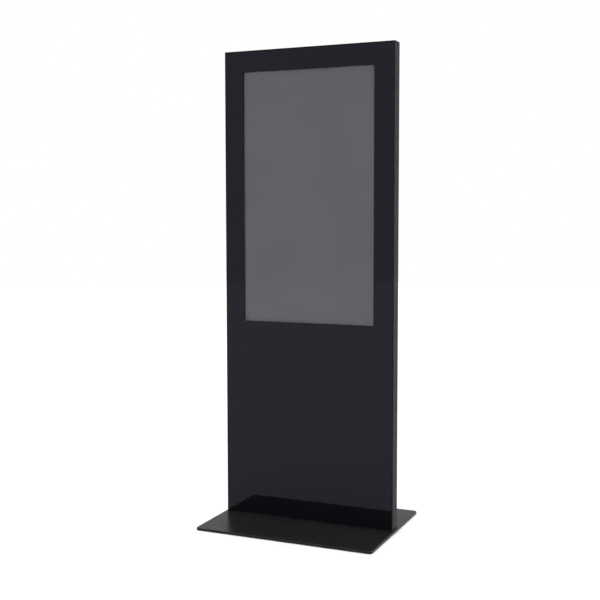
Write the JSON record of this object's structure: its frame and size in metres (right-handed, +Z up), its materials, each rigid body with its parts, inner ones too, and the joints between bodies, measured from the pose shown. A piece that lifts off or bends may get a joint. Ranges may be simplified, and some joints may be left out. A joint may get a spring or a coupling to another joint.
{
  "type": "touchscreen kiosk",
  "caption": "Slim free-standing touchscreen kiosk: tall glass-fronted cabinet with an upright display window, lockable rear service door and a flat rectangular floor plate.",
  "frame": {"origin": "on the floor, under the middle of the floor plate", "axes": "+X to the right seen from the front, the glass faces -Y, +Z up"},
  "size_m": [0.688, 0.522, 1.77],
  "materials": {
    "powder_steel": "satin fine-texture black powder coat on steel",
    "powder_aluminium": "satin dark powder coat on extruded aluminium",
    "black_glass": "clear toughened glass with a black printed border on its back",
    "foam": "closed-cell foam",
    "rubber": "moulded rubber",
    "touch_foil": "clear film",
    "display_cell": "switched-off display, anti-glare film",
    "acrylic": "clear acrylic with white sheets",
    "galvanised": "galvanised sheet steel",
    "zinc_screw": "zinc-plated steel",
    "black_screw": "black oxide steel",
    "raw_aluminium": "mill finish",
    "player_case": "black anodised",
    "supply_case": "perforated sheet",
    "circuit_board": "green solder mask with parts",
    "black_plastic": "moulded, fine texture",
    "red_plastic": "moulded rocker",
    "fuse_glass": "glass tube with metal caps",
    "filter_mat": "open fibre mat",
    "cable_black": "PVC jacket",
    "cable_grey": "PVC jacket",
    "lock_metal": "nickel-plated zinc",
    "clip_plastic": "natural nylon"
  },
  "bodies": {
    "root": {"base_plate": "powder_steel", "foot_pads": "rubber", "base_screws": "zinc_screw", "foot_brackets": "galvanised", "frame_left": "powder_aluminium", "frame_right": "powder_aluminium", "frame_top": "powder_aluminium", "frame_bottom": "powder_aluminium", "corner_cleats": "raw_aluminium", "cleat_screws": "zinc_screw", "front_glass": "black_glass", "glass_tape": "foam", "touch_sensor": "touch_foil", "touch_controller": "circuit_board", "lcd_bezel": "galvanised", "lcd_cell": "display_cell", "light_guide": "acrylic", "lcd_chassis": "galvanised", "scaler_board": "circuit_board", "backlight_driver": "circuit_board", "lcd_rails": "galvanised", "ledge_screws": "zinc_screw", "electronics_tray": "galvanised", "tray_screws": "zinc_screw", "media_player": "player_case", "power_supply": "supply_case", "earth_stud": "zinc_screw", "fan_bracket": "galvanised", "fan_frames": "black_plastic", "fan_screws": "zinc_screw", "door_gasket": "foam", "hinge_frame_barrels": "powder_steel", "hinge_pins": "zinc_screw", "rear_panel": "powder_steel", "panel_screws": "black_screw", "power_inlet": "black_plastic", "lan_coupler": "black_plastic", "hdmi_lead": "cable_black", "usb_lead": "cable_black", "lan_lead": "cable_grey", "mains_lead": "cable_black", "supply_leads": "cable_black", "cable_clips": "clip_plastic"},
    "door": {"rear_door": "powder_steel", "intake_filter": "filter_mat", "hinge_door_barrels": "powder_steel", "hinge_rivets": "black_screw", "lock_bodies": "lock_metal", "lock_nuts": "zinc_screw"},
    "lock_lower": {"lock_plug_lower": "lock_metal", "lock_cam_lower": "zinc_screw"},
    "lock_upper": {"lock_plug_upper": "lock_metal", "lock_cam_upper": "zinc_screw"},
    "fan_1": {"fan_rotor_1": "black_plastic"},
    "fan_2": {"fan_rotor_2": "black_plastic"},
    "fan_3": {"fan_rotor_3": "black_plastic"},
    "rocker": {"rocker_switch": "red_plastic"},
    "fuse_tray": {"fuse_drawer": "black_plastic", "fuse": "fuse_glass"},
    "start_button": {"power_button": "black_plastic"}
  },
  "joints": [
    {"name": "door_swing", "type": "hinge", "parent": "root", "child": "door", "pos_m": [-0.333, 0.0342, 0.99], "axis": [0, 0, 1], "range_deg": [0, 120]},
    {"name": "lock_lower_turn", "type": "hinge", "parent": "door", "child": "lock_lower", "pos_m": [0.296, 0.02, 0.56], "axis": [0, -1, 0], "range_deg": [0, 90]},
    {"name": "lock_upper_turn", "type": "hinge", "parent": "door", "child": "lock_upper", "pos_m": [0.296, 0.02, 1.42], "axis": [0, -1, 0], "range_deg": [0, 90]},
    {"name": "fan_1_spin", "type": "hinge", "parent": "root", "child": "fan_1", "pos_m": [-0.11, 0.002, 1.729], "axis": [0, 1, 0], "continuous": true},
    {"name": "fan_2_spin", "type": "hinge", "parent": "root", "child": "fan_2", "pos_m": [0, 0.002, 1.729], "axis": [0, 1, 0], "continuous": true},
    {"name": "fan_3_spin", "type": "hinge", "parent": "root", "child": "fan_3", "pos_m": [0.11, 0.002, 1.729], "axis": [0, 1, 0], "continuous": true},
    {"name": "rocker_tilt", "type": "hinge", "parent": "root", "child": "rocker", "pos_m": [0.21, 0.028, 0.1225], "axis": [1, 0, 0], "range_deg": [-16, 0]},
    {"name": "fuse_drawer_slide", "type": "slide", "parent": "root", "child": "fuse_tray", "axis": [0, 1, 0], "range_m": [0, 0.018]},
    {"name": "start_button_press", "type": "slide", "parent": "root", "child": "start_button", "axis": [0, -1, 0], "range_m": [0, 0.0012], "stiffness_N_per_m": 300}
  ]
}
